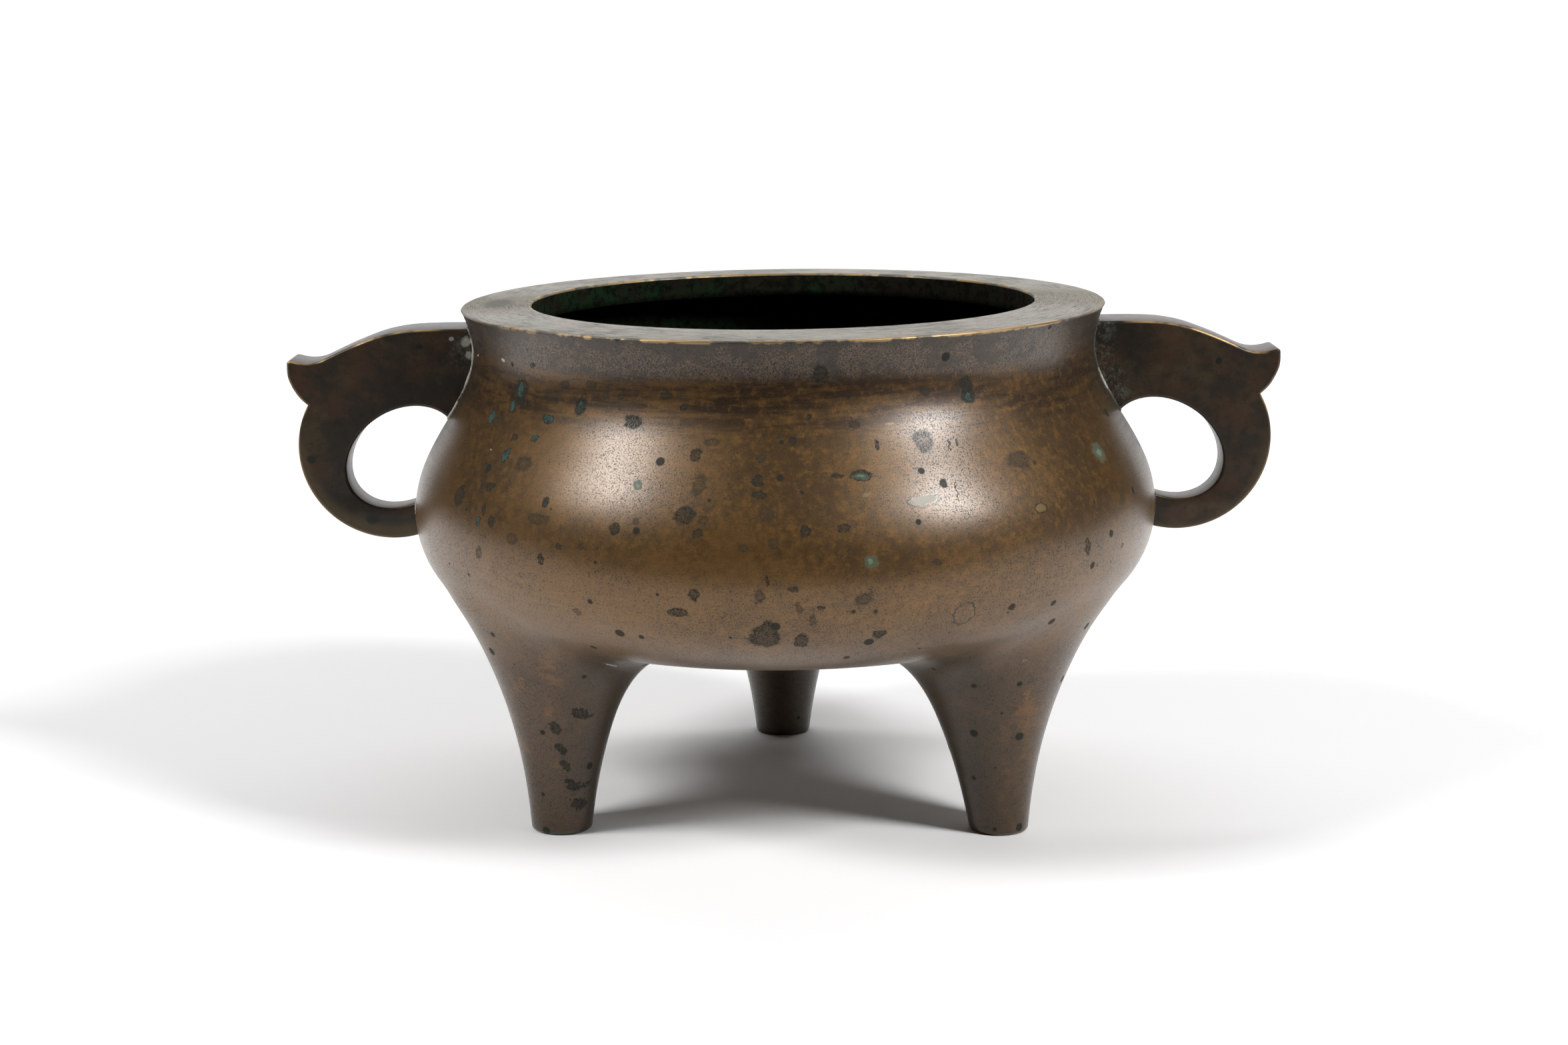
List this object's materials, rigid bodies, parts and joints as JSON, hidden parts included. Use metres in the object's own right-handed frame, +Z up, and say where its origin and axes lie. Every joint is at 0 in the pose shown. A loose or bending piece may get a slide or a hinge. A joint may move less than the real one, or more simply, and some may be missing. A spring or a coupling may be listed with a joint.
{
  "type": "tripod censer",
  "caption": "Low round cast bronze incense burner on tapering legs, with a broad flat lip and flat fish-shaped side handles pierced for a finger.",
  "frame": {"origin": "on the ground, midway between the tips of the handles", "axes": "+Z up from the feet, +X towards the right handle, the front legs towards -Y"},
  "size_m": [0.2468, 0.1856, 0.1285],
  "materials": {
    "body_bronze": "warm brown patinated cast bronze, brushed, worn golden along the lip, brass stands for bronze",
    "handle_bronze": "very dark brown patinated cast bronze, worn golden along the back's front edge"
  },
  "bodies": {
    "root": {"censer_body": "body_bronze", "handle_left": "handle_bronze", "handle_right": "handle_bronze"}
  },
  "joints": []
}
